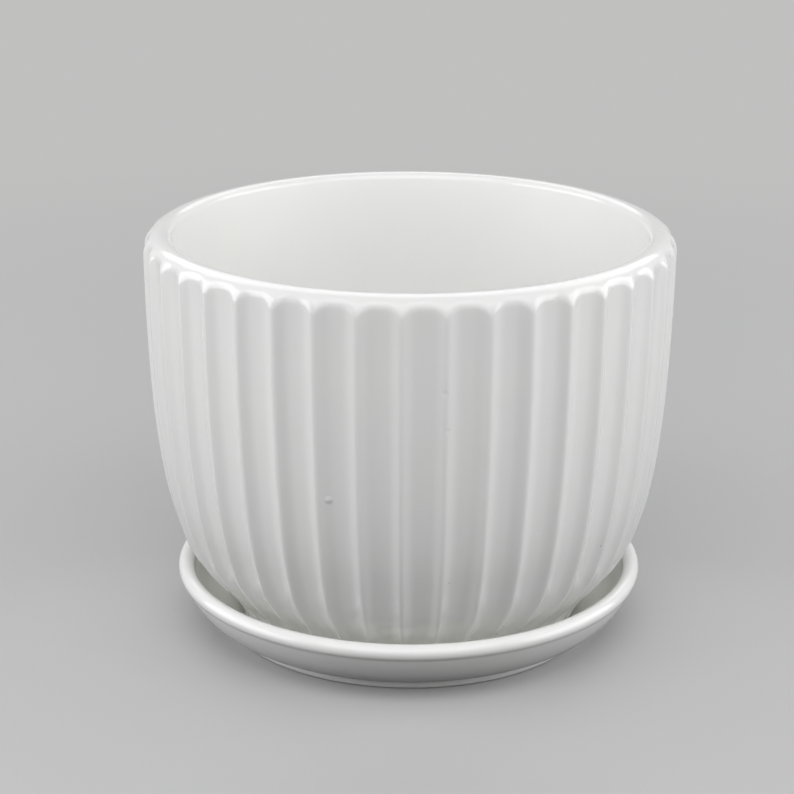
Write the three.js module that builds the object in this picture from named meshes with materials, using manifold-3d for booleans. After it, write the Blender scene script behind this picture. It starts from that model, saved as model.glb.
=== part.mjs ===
// Ceramic planter with its drip saucer: a fluted, egg-cup shaped pot standing loose in a round dish.
// Millimetres, +Z up. Both pieces turn about the Z axis and the saucer's foot ring rests on z = 0.
// The front of the planter faces -Y.

import * as THREE from 'three';
import { mergeVertices, toCreasedNormals } from 'three/addons/utils/BufferGeometryUtils.js';
import Module from 'manifold-3d';

const wasm = await Module();
wasm.setup();

// Pot outline, measured over the ridges between the flutes
const potHeight = 122.3;
const potRimRadius = 82.5;
const potFootRadius = 56;
const bellyRadius = 74.1;
const bellyHeight = 28.2;
const bellyLean = 15.7;
const footLean = 17.8;

// How far each end of the outline's two curves keeps its own direction
const footReach = 10.1;
const lowerBellyReach = 14.6;
const upperBellyReach = 7.1;
const rimReach = 69.1;

// Flutes: hollow grooves with a narrow ridge left standing between neighbours
const fluteCount = 41;
const fluteDepth = 1.6;
const ridgeShare = 0.14;
const hollowFlatness = 2.4;
const firstRidgeAngle = -1.9;
const fluteRunOutStart = 1.4;
const fluteRunOutEnd = 6;

// Mouth: a crown, a slope that falls outward to the flutes, and a rounded inner edge
const wallThickness = 8.4;
const mouthRounding = 2.2;
const crownLand = 0.4;
const lipSlopeDrop = 6.2;
const lipOverrun = 0.33;

// Bottom of the pot
const potFloorThickness = 6;
const innerFloorRounding = 9;
const footRecess = 2.2;
const footRingWidth = 7;
const footEdgeRounding = 0.8;
const drainRadius = 7;
const notchWidth = 9;
const notchAngles = [-73, 72, 180];

// Saucer
const seatClearance = 0.3;
const saucerBaseThickness = 4.3;
const saucerRecess = 2.2;
const saucerFootRingMargin = 3.9;
const saucerFootRingWidth = 5;
const saucerFootRingHeight = 2.9;
const saucerFootFlare = 0.9;
const saucerFootRounding = 0.8;
const saucerRimHeight = 20.5;
const saucerRimTube = 2.55;
const saucerRimGap = 6.4;
const saucerRimTuck = 47;
const saucerWallLean = 24;
const saucerWallStartLean = 69;
const wellMargin = 2.5;

// Facets
const grooveFacets = 5;
const lowerOutlineSteps = 5;
const upperOutlineSteps = 6;
const lipSteps = 3;
const cavityFacets = 72;
const saucerFacets = 72;
const bladeExtra = 5;

const saucerFloor = saucerRecess + saucerBaseThickness;
const potSeat = saucerFloor + seatClearance;
const crownRadius = potRimRadius - wallThickness + mouthRounding;
const lipRun = potRimRadius + lipOverrun - crownRadius - crownLand;

function leaning(degrees, length) {
  const angle = THREE.MathUtils.degToRad(degrees);
  return new THREE.Vector2(Math.sin(angle) * length, Math.cos(angle) * length);
}

// Height of the lip's outward slope over a given radius: a quarter of an ellipse
function lipHeight(radius) {
  const across = (radius - crownRadius - crownLand) / lipRun;
  return potHeight - lipSlopeDrop * (1 - Math.sqrt(Math.max(0, 1 - across * across)));
}

// Outline of the ridges from the foot through the belly to the shoulder, as [radius, height]
function potOutline() {
  const foot = new THREE.Vector2(potFootRadius, 0);
  const belly = new THREE.Vector2(bellyRadius, bellyHeight);
  const shoulder = new THREE.Vector2(potRimRadius, lipHeight(potRimRadius));
  const afterFoot = foot.clone().add(leaning(footLean, footReach));
  const beforeBelly = belly.clone().sub(leaning(bellyLean, lowerBellyReach));
  const afterBelly = belly.clone().add(leaning(bellyLean, upperBellyReach));
  const beforeShoulder = shoulder.clone().sub(leaning(0, rimReach));
  return {
    lower: new THREE.CubicBezierCurve(foot, afterFoot, beforeBelly, belly),
    upper: new THREE.CubicBezierCurve(belly, afterBelly, beforeShoulder, shoulder),
  };
}

// Radius over the ridges at a height above the pot's foot
function outlineRadius(height) {
  const { lower, upper } = potOutline();
  const curve = height < bellyHeight ? lower : upper;
  let low = 0;
  let high = 1;
  for (let step = 0; step < 40; step += 1) {
    const middle = (low + high) / 2;
    if (curve.getPoint(middle).y < height) low = middle;
    else high = middle;
  }
  return curve.getPoint(low).x;
}

function solidFrom(geometry) {
  const bare = new THREE.BufferGeometry();
  bare.setAttribute('position', geometry.getAttribute('position').clone());
  bare.setIndex(geometry.getIndex() ? geometry.getIndex().clone() : null);
  const merged = mergeVertices(bare, 1e-5);
  const index = merged.getIndex().array;
  const kept = [];
  for (let i = 0; i < index.length; i += 3) {
    const [a, b, c] = [index[i], index[i + 1], index[i + 2]];
    if (a !== b && b !== c && c !== a) kept.push(a, b, c);
  }
  const mesh = new wasm.Mesh({
    numProp: 3,
    vertProperties: new Float32Array(merged.getAttribute('position').array),
    triVerts: new Uint32Array(kept),
  });
  return new wasm.Manifold(mesh);
}

function geometryFrom(solid) {
  const mesh = solid.getMesh();
  const geometry = new THREE.BufferGeometry();
  geometry.setAttribute('position', new THREE.BufferAttribute(new Float32Array(mesh.vertProperties), 3));
  geometry.setIndex(new THREE.BufferAttribute(new Uint32Array(mesh.triVerts), 1));
  return toCreasedNormals(geometry, 0.6);
}

// A profile of [radius, height] points turned about the Z axis
function turned(profile, facets) {
  const lathe = new THREE.LatheGeometry(profile, facets);
  lathe.rotateX(Math.PI / 2);
  return solidFrom(lathe);
}

function cylinder(radius, bottom, top) {
  const shape = new THREE.CylinderGeometry(radius, radius, top - bottom, cavityFacets / 2);
  shape.rotateX(Math.PI / 2);
  shape.translate(0, 0, (bottom + top) / 2);
  return solidFrom(shape);
}

// Columns round the pot. hollow is 0 on a ridge and 1 along the middle of a flute.
function fluteColumns() {
  const columns = [];
  const pitch = (2 * Math.PI) / fluteCount;
  const start = THREE.MathUtils.degToRad(firstRidgeAngle - 90);
  for (let flute = 0; flute < fluteCount; flute += 1) {
    for (let step = 0; step <= grooveFacets; step += 1) {
      const across = step / grooveFacets;
      const share = ridgeShare / 2 + (1 - ridgeShare) * across;
      columns.push({
        angle: start + pitch * (flute + share),
        hollow: 1 - Math.abs(2 * across - 1) ** hollowFlatness,
      });
    }
  }
  return columns;
}

// Rows up the fluted wall and over the lip, each giving [radius, height] for a column's hollow
function fluteRows() {
  const { lower, upper } = potOutline();
  const outline = [
    ...lower.getPoints(lowerOutlineSteps),
    ...upper.getPoints(upperOutlineSteps).slice(1, -1),
  ];
  const rows = [() => [potFootRadius - footEdgeRounding, 0]];
  outline[0].set(outlineRadius(footEdgeRounding), footEdgeRounding);
  for (const point of outline) {
    const depth = fluteDepth * THREE.MathUtils.smoothstep(point.y, fluteRunOutStart, fluteRunOutEnd);
    rows.push((hollow) => [point.x - depth * hollow, point.y]);
  }
  for (let step = 0; step <= lipSteps; step += 1) {
    rows.push((hollow) => {
      const shoulder = potRimRadius - fluteDepth * hollow;
      const radius = THREE.MathUtils.lerp(shoulder, crownRadius + crownLand, step / lipSteps);
      return [radius, lipHeight(radius)];
    });
  }
  return rows;
}

// The whole outside of the pot as a closed solid, scalloped where the flutes run out through the lip
function flutedBody() {
  const columns = fluteColumns();
  const rows = fluteRows();
  const count = columns.length;
  const positions = [];
  for (const row of rows) {
    for (const { angle, hollow } of columns) {
      const [radius, height] = row(hollow);
      positions.push(radius * Math.cos(angle), radius * Math.sin(angle), height);
    }
  }
  const bottomCentre = positions.length / 3;
  const topCentre = bottomCentre + 1;
  positions.push(0, 0, 0);
  positions.push(0, 0, potHeight);
  const index = [];
  const top = (rows.length - 1) * count;
  for (let i = 0; i < count; i += 1) {
    const next = (i + 1) % count;
    for (let row = 0; row < rows.length - 1; row += 1) {
      const a = row * count + i;
      const b = row * count + next;
      index.push(a, b, b + count, a, b + count, a + count);
    }
    index.push(bottomCentre, next, i);
    index.push(topCentre, top + i, top + next);
  }
  const geometry = new THREE.BufferGeometry();
  geometry.setAttribute('position', new THREE.Float32BufferAttribute(positions, 3));
  geometry.setIndex(index);
  return solidFrom(geometry);
}

// Planting space: the outline moved in by the wall, a rounded floor and a rounded mouth
function plantingSpace() {
  const floor = footRecess + potFloorThickness;
  const { lower, upper } = potOutline();
  const wall = [];
  for (const [curve, steps] of [[lower, lowerOutlineSteps], [upper, upperOutlineSteps]]) {
    for (let step = 1; step <= steps; step += 1) {
      const point = curve.getPoint(step / steps);
      const along = curve.getTangent(step / steps);
      wall.push(new THREE.Vector2(point.x - along.y * wallThickness, point.y + along.x * wallThickness));
    }
  }
  const standing = wall.filter((p) => p.y > floor + innerFloorRounding);
  const [corner, above] = standing;
  const wallFoot = corner.x - (corner.y - floor) * ((above.x - corner.x) / (above.y - corner.y));
  const path = new THREE.Path();
  path.moveTo(0, floor);
  path.lineTo(wallFoot - innerFloorRounding, floor);
  path.quadraticCurveTo(wallFoot, floor, corner.x, corner.y);
  const mouth = potHeight - mouthRounding;
  for (const point of standing.slice(1)) {
    if (point.y < mouth) path.lineTo(point.x, point.y);
  }
  path.absarc(crownRadius, mouth, mouthRounding, Math.PI, Math.PI / 2, true);
  path.lineTo(crownRadius, potHeight + bladeExtra);
  path.lineTo(0, potHeight + bladeExtra);
  return turned(path.getPoints(3), cavityFacets);
}

// Gaps through the foot ring that let drained water out into the saucer
function footNotch(degrees) {
  const reach = footRingWidth + 2 * bladeExtra;
  const box = new THREE.BoxGeometry(notchWidth, reach, footRecess + bladeExtra);
  box.translate(0, -(potFootRadius - footRingWidth / 2), (footRecess - bladeExtra) / 2);
  box.rotateZ(THREE.MathUtils.degToRad(degrees));
  return solidFrom(box);
}

function plantPot() {
  let solid = flutedBody().subtract(plantingSpace());
  solid = solid.subtract(cylinder(potFootRadius - footRingWidth, -bladeExtra, footRecess));
  solid = solid.subtract(cylinder(drainRadius, -bladeExtra, footRecess + potFloorThickness + bladeExtra));
  for (const degrees of notchAngles) solid = solid.subtract(footNotch(degrees));
  const material = new THREE.MeshStandardMaterial({ color: 0xf0f0ee, roughness: 0.14, metalness: 0 });
  const mesh = new THREE.Mesh(geometryFrom(solid), material);
  mesh.name = 'plant_pot';
  mesh.position.z = potSeat;
  return mesh;
}

// Dish with a thick rolled rim, a flared wall, a set-in foot ring and a flat well under the pot
function dripSaucer() {
  const footOuter = potFootRadius + saucerFootRingMargin;
  const footInner = footOuter - saucerFootRingWidth;
  const rimCentreRadius = outlineRadius(saucerRimHeight - potSeat) + saucerRimGap;
  const rimCentreHeight = saucerRimHeight - saucerRimTube;
  const wallStart = new THREE.Vector2(footOuter + saucerFootFlare, saucerFootRingHeight);
  const underRim = new THREE.Vector2(rimCentreRadius, rimCentreHeight);
  const tuck = THREE.MathUtils.degToRad(saucerRimTuck);
  underRim.x += saucerRimTube * Math.cos(tuck);
  underRim.y -= saucerRimTube * Math.sin(tuck);
  const span = wallStart.distanceTo(underRim);
  const wallOut = wallStart.clone().add(leaning(saucerWallStartLean, span * 0.35));
  const wallUp = underRim.clone().sub(leaning(saucerWallLean, span * 0.47));
  const rimInside = rimCentreRadius - saucerRimTube;
  const wellRadius = potFootRadius + wellMargin;

  const path = new THREE.Path();
  path.moveTo(0, saucerRecess);
  path.lineTo(footInner - saucerRecess, saucerRecess);
  path.lineTo(footInner, 0);
  path.lineTo(footOuter - saucerFootRounding, 0);
  path.quadraticCurveTo(footOuter, 0, footOuter + saucerFootFlare / 4, saucerFootRounding);
  path.lineTo(wallStart.x, wallStart.y);
  path.bezierCurveTo(wallOut.x, wallOut.y, wallUp.x, wallUp.y, underRim.x, underRim.y);
  path.absarc(rimCentreRadius, rimCentreHeight, saucerRimTube, -tuck, Math.PI / 2, false);
  path.absarc(rimCentreRadius, rimCentreHeight, saucerRimTube, Math.PI / 2, Math.PI, false);
  path.bezierCurveTo(
    rimInside, saucerFloor + (rimCentreHeight - saucerFloor) * 0.5,
    wellRadius + (rimInside - wellRadius) * 0.65, saucerFloor,
    wellRadius, saucerFloor,
  );
  path.lineTo(0, saucerFloor);
  const solid = turned(path.getPoints(3), saucerFacets);
  const material = new THREE.MeshStandardMaterial({ color: 0xf2f2ef, roughness: 0.14, metalness: 0 });
  const mesh = new THREE.Mesh(geometryFrom(solid), material);
  mesh.name = 'drip_saucer';
  return mesh;
}

const planter = new THREE.Group();
planter.name = 'planter_with_saucer';
planter.add(dripSaucer());
planter.add(plantPot());

export default planter;
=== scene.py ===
from math import asin, atan2, cos, pi, radians, sin, sqrt

import bmesh
import bpy
from mathutils import Matrix, Vector


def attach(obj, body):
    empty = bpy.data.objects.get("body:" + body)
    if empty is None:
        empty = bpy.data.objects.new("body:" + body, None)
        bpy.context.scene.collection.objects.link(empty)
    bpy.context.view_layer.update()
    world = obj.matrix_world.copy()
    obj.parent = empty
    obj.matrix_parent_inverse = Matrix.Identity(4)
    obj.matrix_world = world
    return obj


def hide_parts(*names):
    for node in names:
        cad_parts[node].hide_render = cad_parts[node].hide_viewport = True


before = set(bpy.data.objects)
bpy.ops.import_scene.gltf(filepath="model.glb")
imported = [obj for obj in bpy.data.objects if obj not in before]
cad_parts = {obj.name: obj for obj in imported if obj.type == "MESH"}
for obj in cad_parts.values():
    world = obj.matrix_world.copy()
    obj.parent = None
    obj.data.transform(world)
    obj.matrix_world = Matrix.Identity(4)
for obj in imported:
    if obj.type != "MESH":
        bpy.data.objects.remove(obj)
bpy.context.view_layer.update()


# The camera. It stands in front of the planter, a little above its rim, and looks
# down into the mouth, with the long lens of a catalogue picture.
camera_place = (-0.0039, -0.6336, 0.2883)
camera_pitch = radians(71.238)
camera_roll = 0.0028
camera_lens = 95.21

camera_data = bpy.data.cameras.new("catalogue_camera")
camera_data.lens = camera_lens
camera_data.sensor_width = 36
camera_data.clip_start = 0.01
camera = bpy.data.objects.new("catalogue_camera", camera_data)
camera.location = camera_place
camera_turn = Matrix.Rotation(camera_pitch, 3, "X") @ Matrix.Rotation(camera_roll, 3, "Z")
camera.rotation_euler = camera_turn.to_euler()
bpy.context.collection.objects.link(camera)
bpy.context.scene.camera = camera
bpy.context.scene.view_settings.view_transform = "Standard"


# The table top and the room. A plain pale sheet lies under the planter and runs on
# into a pale room. To the camera and in the glaze they are pale; the light that
# they throw back onto the white pot is kept low, as on a dark table.
table_size = 10.0
table_drop = 0.0001
table_colour = (0.58, 0.58, 0.577, 1)
table_bounce = (0.015, 0.015, 0.015, 1)
backdrop_colour = (0.53, 0.53, 0.527, 1)
backdrop_start = 0.16
backdrop_full = 0.75
room_colour = (0.53, 0.53, 0.527, 1)
room_fill = (0.005, 0.005, 0.005, 1)


def seen_directly(nodes, links):
    """One for rays that see the surface itself or its mirror image, nought for soft light."""
    path = nodes.new("ShaderNodeLightPath")
    camera_or_gloss = nodes.new("ShaderNodeMath")
    camera_or_gloss.operation = "MAXIMUM"
    links.new(path.outputs["Is Camera Ray"], camera_or_gloss.inputs[0])
    links.new(path.outputs["Is Glossy Ray"], camera_or_gloss.inputs[1])
    any_sight = nodes.new("ShaderNodeMath")
    any_sight.operation = "MAXIMUM"
    links.new(camera_or_gloss.outputs[0], any_sight.inputs[0])
    links.new(path.outputs["Is Transmission Ray"], any_sight.inputs[1])
    return any_sight.outputs[0]


def colour_mix(nodes, links, share, first, second):
    """A mix of two colours, each given as a colour or as the output that carries it."""
    mix = nodes.new("ShaderNodeMix")
    mix.data_type = "RGBA"
    links.new(share, mix.inputs[0])
    for slot, colour in ((6, first), (7, second)):
        if isinstance(colour, tuple):
            mix.inputs[slot].default_value = colour
        else:
            links.new(colour, mix.inputs[slot])
    return mix.outputs[2]


bpy.ops.object.select_all(action="DESELECT")
bpy.ops.mesh.primitive_plane_add(size=table_size, location=(0, 0, -table_drop))
table_top = bpy.context.active_object
table_top.name = "table_top"
bpy.ops.object.transform_apply(location=True)
table_paper = bpy.data.materials.new("table_paper")
table_paper.use_nodes = True
nodes = table_paper.node_tree.nodes
links = table_paper.node_tree.links
paper = nodes["Principled BSDF"]
paper.inputs["Roughness"].default_value = 0.9
paper.inputs["Specular IOR Level"].default_value = 0
direct = seen_directly(nodes, links)
spot = nodes.new("ShaderNodeTexCoord")
away = nodes.new("ShaderNodeVectorMath")
away.operation = "LENGTH"
links.new(spot.outputs["Object"], away.inputs[0])
far = nodes.new("ShaderNodeMapRange")
far.interpolation_type = "SMOOTHSTEP"
far.inputs["From Min"].default_value = backdrop_start
far.inputs["From Max"].default_value = backdrop_full
links.new(away.outputs["Value"], far.inputs["Value"])
lit = colour_mix(nodes, links, far.outputs["Result"], table_colour, (0, 0, 0, 1))
links.new(colour_mix(nodes, links, direct, table_bounce, lit), paper.inputs["Base Color"])
glow = colour_mix(nodes, links, far.outputs["Result"], (0, 0, 0, 1), backdrop_colour)
links.new(colour_mix(nodes, links, direct, (0, 0, 0, 1), glow), paper.inputs["Emission Color"])
paper.inputs["Emission Strength"].default_value = 1
table_top.data.materials.append(table_paper)

room = bpy.data.worlds.new("pale_room")
bpy.context.scene.world = room
room.use_nodes = True
nodes = room.node_tree.nodes
links = room.node_tree.links
links.new(
    colour_mix(nodes, links, seen_directly(nodes, links), room_fill, room_colour),
    nodes["Background"].inputs["Color"],
)


# The studio lamps: a low, broad soft box on each side of the planter, one above it
# towards the camera, a weak one behind the camera, and one at the back.
lamps = [
    ("soft_box_left", (-0.95, -0.1, 0.33), (1.05, 0.75), 7.4),
    ("soft_box_right", (0.95, -0.1, 0.33), (1.05, 0.75), 7.2),
    ("soft_box_above", (0.0, -0.75, 0.92), (1.6, 0.9), 8.1),
    ("soft_box_front", (0.0, -1.3, 0.45), (1.2, 0.7), 2.5),
    ("soft_box_back", (0.0, 0.78, 0.83), (1.4, 0.7), 4.7),
]
lamp_colour = (0.985, 0.985, 1.0)
lamp_target = Vector((0, 0, 0.07))
for lamp_name, place, size, power in lamps:
    lamp_data = bpy.data.lights.new(lamp_name, "AREA")
    lamp_data.shape = "RECTANGLE"
    lamp_data.size, lamp_data.size_y = size
    lamp_data.energy = power
    lamp_data.color = lamp_colour
    lamp = bpy.data.objects.new(lamp_name, lamp_data)
    lamp.location = place
    lamp.rotation_euler = (lamp_target - Vector(place)).to_track_quat("-Z", "Y").to_euler()
    bpy.context.collection.objects.link(lamp)


# The drip saucer: one round dish of cast white clay, glazed all over but for the foot
# ring that it stood on in the kiln. It lies loose on the table and the pot stands in it.
saucer_columns = 216
saucer_underside = 0.0022
saucer_rim_centre = (0.07218, 0.01795)
saucer_rim_tube = 0.00255
saucer_floor = 0.0065
saucer_white = (0.91, 0.91, 0.897, 1)
# Colour of low, upward-facing hollows: a warmer tint of thicker glaze, and lighter as painted light in the
# shaded well.
pooled_and_lit_white = (0.94, 0.94, 0.88, 1)
saucer_bare_top = 0.0002
glaze_ior = 1.5
gloss_range = (0.05, 0.11)
cloud_scale = 38
cloud_range = (0.35, 0.7)
cloud_share = 0.25
pool_and_light_top = 0.0180
pool_and_light_full = 0.0100
ripple_scale = 130
ripple_height = 0.00006
ripple_strength = 0.35
pinhole_scale = 260
pinhole_radius = 0.06
pinhole_rarity = 0.985
pinhole_colour = (0.5, 0.46, 0.4, 1)
bare_clay_colour = (0.78, 0.74, 0.67, 1)
grain_colour = (0.55, 0.50, 0.42, 1)
grain_scale = 900
grain_height = 0.0001
grain_strength = 0.6
clay_roughness = 0.85


def curve_points(start, first, second, end, count):
    """Points along a cubic curve between two places on a profile, leaving out its start."""
    points = []
    for step in range(1, count + 1):
        t = step / count
        a, b, c, d = (1 - t) ** 3, 3 * t * (1 - t) ** 2, 3 * t * t * (1 - t), t ** 3
        points.append((
            a * start[0] + b * first[0] + c * second[0] + d * end[0],
            a * start[1] + b * first[1] + c * second[1] + d * end[1],
        ))
    return points


def arc_points(centre, radius, begin, finish, count):
    """Points round part of a circle on a profile, with its start and its end."""
    points = []
    for step in range(count + 1):
        angle = radians(begin + (finish - begin) * step / count)
        points.append((centre[0] + radius * cos(angle), centre[1] + radius * sin(angle)))
    return points


saucer_profile = [(0.030, saucer_underside), (0.0523, saucer_underside)]


def run_on(first, second, end, count):
    """Carries the saucer's profile on along a curve, given by its two handles and its end."""
    saucer_profile.extend(curve_points(saucer_profile[-1], first, second, end, count))


# Down the inside of the foot ring, across it and up its outside
run_on((0.0533, saucer_underside), (0.0539, 0.0010), (0.0547, 0.0004), 5)
run_on((0.0550, 0.0001), (0.0552, 0.0), (0.0555, 0.0), 3)
saucer_profile += [(0.0572, 0.0), (0.0589, 0.0)]
run_on((0.0595, 0.0), (0.0598, 0.0003), (0.0600, 0.0008), 4)
run_on((0.0601, 0.0013), (0.0602, 0.0019), (0.0603, 0.0023), 4)
run_on((0.0605, 0.0028), (0.0610, 0.0030), (0.0616, 0.0032), 4)
# Up the flared wall, round the rolled rim and down the inside to the floor
run_on((0.0671, 0.0054), (0.0702, 0.0081), (0.07345, 0.0150), 14)
run_on((0.0736, 0.01535), (0.07375, 0.01575), (0.0740, 0.01615), 5)
saucer_profile += arc_points(saucer_rim_centre, saucer_rim_tube, -40, 180, 26)
run_on((0.06963, 0.0122), (0.0657, saucer_floor), (0.0585, saucer_floor), 14)
saucer_profile += [(0.050, saucer_floor), (0.025, saucer_floor)]

bpy.ops.object.select_all(action="DESELECT")
bpy.ops.mesh.primitive_circle_add(
    vertices=saucer_columns, radius=saucer_profile[0][0], fill_type="TRIFAN",
    location=(0, 0, saucer_profile[0][1]),
)
saucer = bpy.context.active_object
saucer.name = "round_drip_saucer"
bpy.ops.object.transform_apply(location=True)
bpy.ops.object.mode_set(mode="EDIT")
bpy.ops.mesh.select_mode(type="EDGE")
bpy.ops.mesh.region_to_loop()
radius, height = saucer_profile[0]
for new_radius, new_height in saucer_profile[1:]:
    bpy.ops.mesh.extrude_region_move(TRANSFORM_OT_translate={"value": (0, 0, new_height - height)})
    stretch = new_radius / radius
    bpy.ops.transform.resize(value=(stretch, stretch, 1), center_override=(0, 0, 0))
    radius, height = new_radius, new_height
bpy.ops.mesh.extrude_region_move()
bpy.ops.mesh.merge(type="CENTER")
bpy.ops.mesh.select_all(action="SELECT")
bpy.ops.mesh.normals_make_consistent(inside=False)
bpy.ops.object.mode_set(mode="OBJECT")
bpy.ops.object.shade_smooth()


def glaze(name, white, pooled_and_lit):
    """White glaze: glassy, clouded, with ripples and pinholes. Low, upward-facing hollows take a warmer,
    lighter colour: partly thicker glaze, partly painted light.
    """
    material = bpy.data.materials.new(name)
    material.use_nodes = True
    nodes = material.node_tree.nodes
    links = material.node_tree.links
    surface = nodes["Principled BSDF"]
    surface.inputs["IOR"].default_value = glaze_ior
    place = nodes.new("ShaderNodeTexCoord")

    clouds = nodes.new("ShaderNodeTexNoise")
    clouds.inputs["Scale"].default_value = cloud_scale
    clouds.inputs["Detail"].default_value = 3
    links.new(place.outputs["Object"], clouds.inputs["Vector"])
    clouding = nodes.new("ShaderNodeMapRange")
    clouding.inputs["From Min"].default_value, clouding.inputs["From Max"].default_value = cloud_range
    clouding.inputs["To Max"].default_value = cloud_share
    links.new(clouds.outputs["Fac"], clouding.inputs["Value"])
    tint = nodes.new("ShaderNodeMix")
    tint.data_type = "RGBA"
    tint.inputs[6].default_value = white
    tint.inputs[7].default_value = pooled_and_lit
    # Low, upward-facing places take the pooled colour: a warmer tint of thicker glaze, with painted light
    # that lightens the shaded well.
    low = nodes.new("ShaderNodeSeparateXYZ")
    links.new(place.outputs["Object"], low.inputs[0])
    lowness = nodes.new("ShaderNodeMapRange")
    lowness.inputs["From Min"].default_value = pool_and_light_top
    lowness.inputs["From Max"].default_value = pool_and_light_full
    links.new(low.outputs["Z"], lowness.inputs["Value"])
    level = nodes.new("ShaderNodeSeparateXYZ")
    links.new(place.outputs["Normal"], level.inputs[0])
    pool_and_light = nodes.new("ShaderNodeMath")
    pool_and_light.operation = "MULTIPLY"
    pool_and_light.use_clamp = True
    links.new(lowness.outputs["Result"], pool_and_light.inputs[0])
    links.new(level.outputs["Z"], pool_and_light.inputs[1])
    clouds_and_pool_light_share = nodes.new("ShaderNodeMath")
    clouds_and_pool_light_share.operation = "MAXIMUM"
    links.new(clouding.outputs["Result"], clouds_and_pool_light_share.inputs[0])
    links.new(pool_and_light.outputs[0], clouds_and_pool_light_share.inputs[1])
    links.new(clouds_and_pool_light_share.outputs[0], tint.inputs[0])

    specks = nodes.new("ShaderNodeTexVoronoi")
    specks.inputs["Scale"].default_value = pinhole_scale
    links.new(place.outputs["Object"], specks.inputs["Vector"])
    speck_size = nodes.new("ShaderNodeMath")
    speck_size.operation = "LESS_THAN"
    speck_size.inputs[1].default_value = pinhole_radius
    links.new(specks.outputs["Distance"], speck_size.inputs[0])
    speck_pick = nodes.new("ShaderNodeSeparateColor")
    links.new(specks.outputs["Color"], speck_pick.inputs["Color"])
    rare = nodes.new("ShaderNodeMath")
    rare.operation = "GREATER_THAN"
    rare.inputs[1].default_value = pinhole_rarity
    links.new(speck_pick.outputs["Red"], rare.inputs[0])
    pinhole = nodes.new("ShaderNodeMath")
    pinhole.operation = "MULTIPLY"
    links.new(speck_size.outputs[0], pinhole.inputs[0])
    links.new(rare.outputs[0], pinhole.inputs[1])
    marked = nodes.new("ShaderNodeMix")
    marked.data_type = "RGBA"
    marked.inputs[7].default_value = pinhole_colour
    links.new(pinhole.outputs[0], marked.inputs[0])
    links.new(tint.outputs[2], marked.inputs[6])
    links.new(marked.outputs[2], surface.inputs["Base Color"])

    ripples = nodes.new("ShaderNodeTexNoise")
    ripples.inputs["Scale"].default_value = ripple_scale
    ripples.inputs["Detail"].default_value = 2
    links.new(place.outputs["Object"], ripples.inputs["Vector"])
    gloss = nodes.new("ShaderNodeMapRange")
    gloss.inputs["To Min"].default_value, gloss.inputs["To Max"].default_value = gloss_range
    links.new(clouds.outputs["Fac"], gloss.inputs["Value"])
    links.new(gloss.outputs["Result"], surface.inputs["Roughness"])
    relief = nodes.new("ShaderNodeBump")
    relief.inputs["Strength"].default_value = ripple_strength
    relief.inputs["Distance"].default_value = ripple_height
    links.new(ripples.outputs["Fac"], relief.inputs["Height"])
    links.new(relief.outputs["Normal"], surface.inputs["Normal"])
    return material


def bare_clay(name, colour):
    """Unglazed fired clay: matt and sandy, with darker grains."""
    material = bpy.data.materials.new(name)
    material.use_nodes = True
    nodes = material.node_tree.nodes
    links = material.node_tree.links
    surface = nodes["Principled BSDF"]
    surface.inputs["Roughness"].default_value = clay_roughness
    place = nodes.new("ShaderNodeTexCoord")
    grain = nodes.new("ShaderNodeTexNoise")
    grain.inputs["Scale"].default_value = grain_scale
    grain.inputs["Detail"].default_value = 3
    links.new(place.outputs["Object"], grain.inputs["Vector"])
    links.new(
        colour_mix(nodes, links, grain.outputs["Fac"], colour, grain_colour),
        surface.inputs["Base Color"],
    )
    relief = nodes.new("ShaderNodeBump")
    relief.inputs["Strength"].default_value = grain_strength
    relief.inputs["Distance"].default_value = grain_height
    links.new(grain.outputs["Fac"], relief.inputs["Height"])
    links.new(relief.outputs["Normal"], surface.inputs["Normal"])
    return material


saucer.data.materials.append(glaze("saucer_glaze", saucer_white, pooled_and_lit_white))
saucer.data.materials.append(bare_clay("saucer_bare_clay", bare_clay_colour))
for face in saucer.data.polygons:
    if max(saucer.data.vertices[corner].co.z for corner in face.vertices) < saucer_bare_top:
        face.material_index = 1
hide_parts("drip_saucer")
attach(saucer, "saucer")


# The pot: one cast piece of the same white clay, with forty-one hollow flutes that run
# out through its sloping lip, and a recessed foot with a drain hole. Glazed inside and
# out, it stands on its foot ring in the saucer and is held by nothing but its weight.
pot_seat = 0.0068
pot_height = 0.1223
pot_foot_radius = 0.0560
pot_rim_radius = 0.0825
pot_belly = (0.0741, 0.0282)
belly_lean = radians(15.7)
foot_lean = radians(17.8)
foot_reach = 0.0101
belly_reach_down = 0.0146
belly_reach_up = 0.0071
shoulder_reach = 0.0691
pot_wall = 0.0084
flute_count = 41
first_ridge = radians(-91.9)
flute_depth = 0.0018
flute_cove = 0.18
flute_cove_height = 0.012
flute_fade = (0.0014, 0.006)
ridge_crest = (0, 0.09)
hollow_floor = (0.11, 0.42)
flute_shares = (0, 0.03, 0.06, 0.095, 0.14, 0.20, 0.28, 0.38)
crown_radius = 0.0767
lip_run = 0.00613
lip_drop = 0.0062
lip_edge_rounding = 0.0019
lip_edge_reach = 0.6 * lip_edge_rounding
lip_shift_start = 0.100
mouth_rounding = 0.0022
mouth_inset = 0.0004
inner_rows = 25
inner_corner_height = 0.0200
floor_edge = 0.0435
pot_floor = 0.0082
foot_recess = 0.0022
foot_ring_inside = 0.0490
foot_core = 0.0480
foot_inner_rounding = 0.0006
foot_outer_rounding = 0.0009
foot_ring_middle = 0.0522
foot_rounding_start = 0.0554
drain_radius = 0.007
drain_top_rounding = 0.001
drain_foot_rounding = 0.0006
notch_start = 0.042
notch_half_width = 0.0045
notch_angles = (-73, 72, 180)
pot_white = (0.915, 0.915, 0.902, 1)
pot_bare_band = 0.0003
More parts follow.
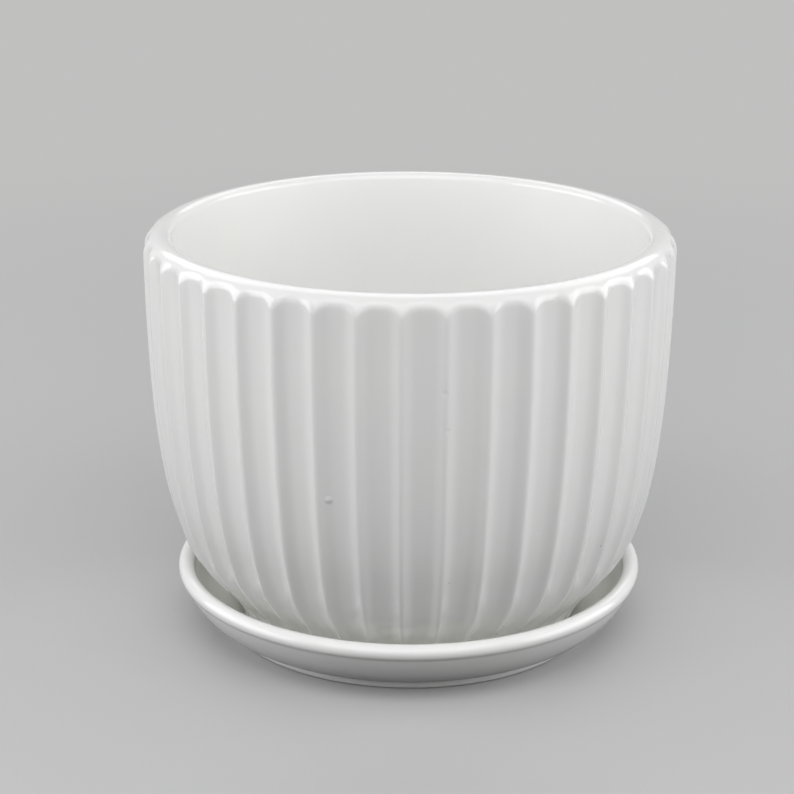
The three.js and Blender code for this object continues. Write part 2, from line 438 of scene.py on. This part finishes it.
# Small marks in the glaze: place, radius and height, which is less than nought for a dent
blemishes = [
    ((-0.0233, -0.0753, 0.0674), 0.0015, 0.0003),
    ((0.0096, -0.0811, 0.1018), 0.0013, -0.0002),
    ((0.0102, -0.0807, 0.0905), 0.0011, -0.0002),
]


def along(angle, length):
    """A step of this length that leans outwards by this angle, as radius and height."""
    return (sin(angle) * length, cos(angle) * length)


def lip_height(radius):
    """Height of the lip's slope, which falls outwards from its crown as part of an oval."""
    across = max(0.0, min(1.0, (radius - crown_radius) / lip_run))
    return pot_height - lip_drop * (1 - sqrt(1 - across * across))


def outline(count):
    """The pot's outline over its ridges, from foot to shoulder, as radius and height."""
    shoulder = (pot_rim_radius, lip_height(pot_rim_radius))
    off_foot = along(foot_lean, foot_reach)
    into_belly = along(belly_lean, belly_reach_down)
    off_belly = along(belly_lean, belly_reach_up)
    low = curve_points(
        (pot_foot_radius, 0),
        (pot_foot_radius + off_foot[0], off_foot[1]),
        (pot_belly[0] - into_belly[0], pot_belly[1] - into_belly[1]),
        pot_belly, count,
    )
    high = curve_points(
        pot_belly,
        (pot_belly[0] + off_belly[0], pot_belly[1] + off_belly[1]),
        (pot_rim_radius, shoulder[1] - shoulder_reach),
        shoulder, 2 * count,
    )
    return [(pot_foot_radius, 0)] + low + high


def radius_at(height, line):
    """Radius at which a line of points stands at this height."""
    for (r0, z0), (r1, z1) in zip(line, line[1:]):
        if z0 <= height <= z1:
            return r0 + (r1 - r0) * (height - z0) / (z1 - z0)
    return line[-1][0]


def smooth(value, begin, finish):
    """Nought up to the beginning, one from the finish on, and a soft step between them."""
    t = max(0.0, min(1.0, (value - begin) / (finish - begin)))
    return t * t * (3 - 2 * t)


def hollow_at(share):
    """Depth across a flute, nought on the rounded ridge and one on the flute's nearly flat floor."""
    share = min(share, 1 - share)
    depth = whole = 0
    for step in range(500):
        place = (step + 0.5) / 1000
        steepness = smooth(place, *ridge_crest) * (1 - smooth(place, *hollow_floor))
        whole += steepness
        if place < share:
            depth += steepness
    return depth / whole


ridge_line = outline(200)
column_shares = list(flute_shares) + [0.5] + [1 - s for s in reversed(flute_shares)]
column_hollows = [hollow_at(s) for s in column_shares]
edge_depth = flute_depth * (1 - flute_cove)

# Each row is one step along the pot's section: from a column's hollow, it gives a radius and a height
pot_rows = []


def plain_row(radius, height):
    """A row that runs round the pot with no flutes in it."""
    pot_rows.append(lambda hollow: (radius, height))


plain_row(foot_core, foot_recess)
for radius, height in arc_points(
    (foot_ring_inside + foot_inner_rounding, foot_inner_rounding), foot_inner_rounding, 180, 270, 4
):
    plain_row(radius, height)
plain_row(foot_ring_middle, 0)
for radius, height in arc_points(
    (foot_rounding_start, foot_outer_rounding), foot_outer_rounding, 270, 343, 4
):
    plain_row(radius, height)


def wall_row(height):
    """A row of the fluted wall. Near the top, it rises and falls with the lip's edge."""
    def place(hollow):
        edge = lip_height(pot_rim_radius - edge_depth * hollow) - lip_edge_rounding
        z = height
        if height > lip_shift_start:
            shift = (edge - lip_shift_start) / (wall_top - lip_shift_start)
            z = lip_shift_start + (height - lip_shift_start) * shift
        fade = smooth(z, *flute_fade)
        cove = 1 - flute_cove * (1 - smooth(edge - z, -flute_cove_height, flute_cove_height)) * 2
        if z < edge - flute_cove_height:
            cove = 1
        return (radius_at(min(z, ridge_line[-1][1]), ridge_line) - flute_depth * fade * cove * hollow, z)
    pot_rows.append(place)


wall_top = lip_height(pot_rim_radius) - lip_edge_rounding
wall_heights = [0.0014 + 0.0008 * step for step in range(7)]
wall_heights += [0.0072, 0.0085, 0.0100, 0.0117, 0.0135, 0.0155]
wall_heights += [0.0175 + 0.0022 * step for step in range(12)]
wall_heights += [0.0450 + 0.0050 * step for step in range(13)]
drops = (0.0066, 0.0041, 0.0031, 0.0024, 0.0018, 0.0013, 0.0008, 0.0004, 0)
wall_heights += [wall_top - drop for drop in drops]
for height in wall_heights:
    wall_row(height)


def edge_row(t):
    """A row of the lip's rounded edge, from the wall at nought to the lip's slope at one."""
    def place(hollow):
        radius = pot_rim_radius - edge_depth * hollow
        corner = (radius, lip_height(radius))
        start = (radius, corner[1] - lip_edge_rounding)
        inner = radius - lip_edge_reach
        finish = (inner, lip_height(inner))
        a, b, c = (1 - t) ** 2, 2 * t * (1 - t), t * t
        return (
            a * start[0] + b * corner[0] + c * finish[0],
            a * start[1] + b * corner[1] + c * finish[1],
        )
    pot_rows.append(place)


def slope_row(t):
    """A row of the lip's slope, from its edge at nought to its crown at one."""
    def place(hollow):
        inner = pot_rim_radius - edge_depth * hollow - lip_edge_reach
        fall = asin(min(1.0, (inner - crown_radius) / lip_run)) * (1 - t)
        radius = crown_radius + lip_run * sin(fall)
        return (radius, lip_height(radius))
    pot_rows.append(place)


for t in (0.12, 0.26, 0.4, 0.55, 0.7, 0.85, 1):
    edge_row(t)
for t in (0.15, 0.3, 0.45, 0.6, 0.75, 0.9, 1):
    slope_row(t)
mouth_centre = (crown_radius - mouth_inset, pot_height - mouth_rounding)
for radius, height in arc_points(mouth_centre, mouth_rounding, 90, 180, 8):
    plain_row(radius, height)

inner_wall = []
for (r0, z0), (r1, z1) in zip(ridge_line, ridge_line[1:]):
    length = sqrt((r1 - r0) ** 2 + (z1 - z0) ** 2)
    inner_wall.append((r1 - pot_wall * (z1 - z0) / length, z1 + pot_wall * (r1 - r0) / length))
for step in range(1, inner_rows + 1):
    height = mouth_centre[1] + (inner_corner_height - mouth_centre[1]) * (step / inner_rows) ** 0.9
    plain_row(radius_at(height, inner_wall), height)
corner = (radius_at(inner_corner_height, inner_wall), inner_corner_height)
for point in curve_points(corner, (0.0552, 0.0140), (0.0500, 0.00825), (floor_edge, pot_floor), 12):
    plain_row(*point)
plain_row(0.030, pot_floor)
plain_row(0.015, pot_floor)
for radius, height in arc_points(
    (drain_radius + drain_top_rounding, pot_floor - drain_top_rounding), drain_top_rounding, 90, 180, 4
):
    plain_row(radius, height)
for radius, height in arc_points(
    (drain_radius + drain_foot_rounding, foot_recess + drain_foot_rounding), drain_foot_rounding, 180, 270, 3
):
    plain_row(radius, height)
plain_row(0.020, foot_recess)
plain_row(0.035, foot_recess)
plain_row(foot_core - foot_inner_rounding, foot_recess)
plain_row(foot_core, foot_recess)

bpy.ops.object.select_all(action="DESELECT")
bpy.ops.mesh.primitive_circle_add(
    vertices=flute_count * (len(column_shares) - 1), radius=foot_core, location=(0, 0, foot_recess)
)
pot = bpy.context.active_object
pot.name = "fluted_pot"
bpy.ops.object.transform_apply(location=True)
bpy.ops.object.mode_set(mode="EDIT")
cage = bmesh.from_edit_mesh(pot.data)
cage.verts.ensure_lookup_table()
bmesh.ops.delete(cage, geom=list(cage.verts)[len(column_shares):], context="VERTS")
pitch = 2 * pi / flute_count
for vert, share in zip(cage.verts, column_shares):
    angle = first_ridge + pitch * share
    vert.co.x, vert.co.y = foot_core * cos(angle), foot_core * sin(angle)
bmesh.update_edit_mesh(pot.data)
bpy.ops.mesh.select_mode(type="EDGE")
bpy.ops.mesh.select_all(action="SELECT")


def column_order(vert):
    """Angle past the first ridge, with a little slack so that the ridge itself comes first."""
    return (atan2(vert.co.y, vert.co.x) - first_ridge + 0.01) % (2 * pi)


for row in pot_rows[1:]:
    bpy.ops.mesh.extrude_region_move()
    cage = bmesh.from_edit_mesh(pot.data)
    line = sorted((v for v in cage.verts if v.select), key=column_order)
    for vert, share, hollow in zip(line, column_shares, column_hollows):
        angle = first_ridge + pitch * share
        radius, height = row(hollow)
        vert.co = (radius * cos(angle), radius * sin(angle), height)
    bmesh.update_edit_mesh(pot.data)

bpy.ops.mesh.select_all(action="SELECT")
bpy.ops.mesh.spin(steps=flute_count, angle=2 * pi, center=(0, 0, 0), axis=(0, 0, 1), dupli=True)
bpy.ops.mesh.select_all(action="SELECT")
bpy.ops.mesh.remove_doubles(threshold=0.00001)
bpy.ops.mesh.normals_make_consistent(inside=False)
bpy.ops.mesh.select_all(action="DESELECT")
bpy.ops.mesh.select_mode(type="VERT")
cage = bmesh.from_edit_mesh(pot.data)
for degrees in notch_angles:
    out = Vector((sin(radians(degrees)), -cos(radians(degrees)), 0))
    side = Vector((-out.y, out.x, 0))
    for vert in cage.verts:
        in_notch = vert.co.dot(out) > notch_start and abs(vert.co.dot(side)) < notch_half_width
        if in_notch and vert.co.z < foot_recess:
            vert.select = True
bmesh.update_edit_mesh(pot.data)
bpy.ops.transform.resize(value=(1, 1, 0), center_override=(0, 0, foot_recess))
bpy.ops.mesh.select_all(action="SELECT")
bpy.ops.transform.translate(value=(0, 0, pot_seat))
bpy.ops.object.mode_set(mode="OBJECT")
bpy.ops.object.shade_smooth()

pot.data.materials.append(glaze("pot_glaze", pot_white, pooled_and_lit_white))
pot.data.materials.append(bare_clay("pot_bare_clay", bare_clay_colour))
for face in pot.data.polygons:
    if max(pot.data.vertices[corner].co.z for corner in face.vertices) < pot_seat + pot_bare_band:
        face.material_index = 1

nodes = pot.data.materials[0].node_tree.nodes
links = pot.data.materials[0].node_tree.links
place = nodes.new("ShaderNodeTexCoord")
normal = nodes["Bump"].outputs["Normal"]
for blemish_place, blemish_radius, blemish_height in blemishes:
    away = nodes.new("ShaderNodeVectorMath")
    away.operation = "DISTANCE"
    away.inputs[1].default_value = blemish_place
    links.new(place.outputs["Object"], away.inputs[0])
    blemish = nodes.new("ShaderNodeMapRange")
    blemish.interpolation_type = "SMOOTHSTEP"
    blemish.inputs["From Max"].default_value = blemish_radius
    blemish.inputs["To Min"].default_value = 1
    blemish.inputs["To Max"].default_value = 0
    links.new(away.outputs["Value"], blemish.inputs["Value"])
    swelling = nodes.new("ShaderNodeBump")
    swelling.invert = blemish_height < 0
    swelling.inputs["Distance"].default_value = abs(blemish_height)
    links.new(blemish.outputs["Result"], swelling.inputs["Height"])
    links.new(normal, swelling.inputs["Normal"])
    normal = swelling.outputs["Normal"]
links.new(normal, nodes["Principled BSDF"].inputs["Normal"])
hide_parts("plant_pot")
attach(pot, "pot")
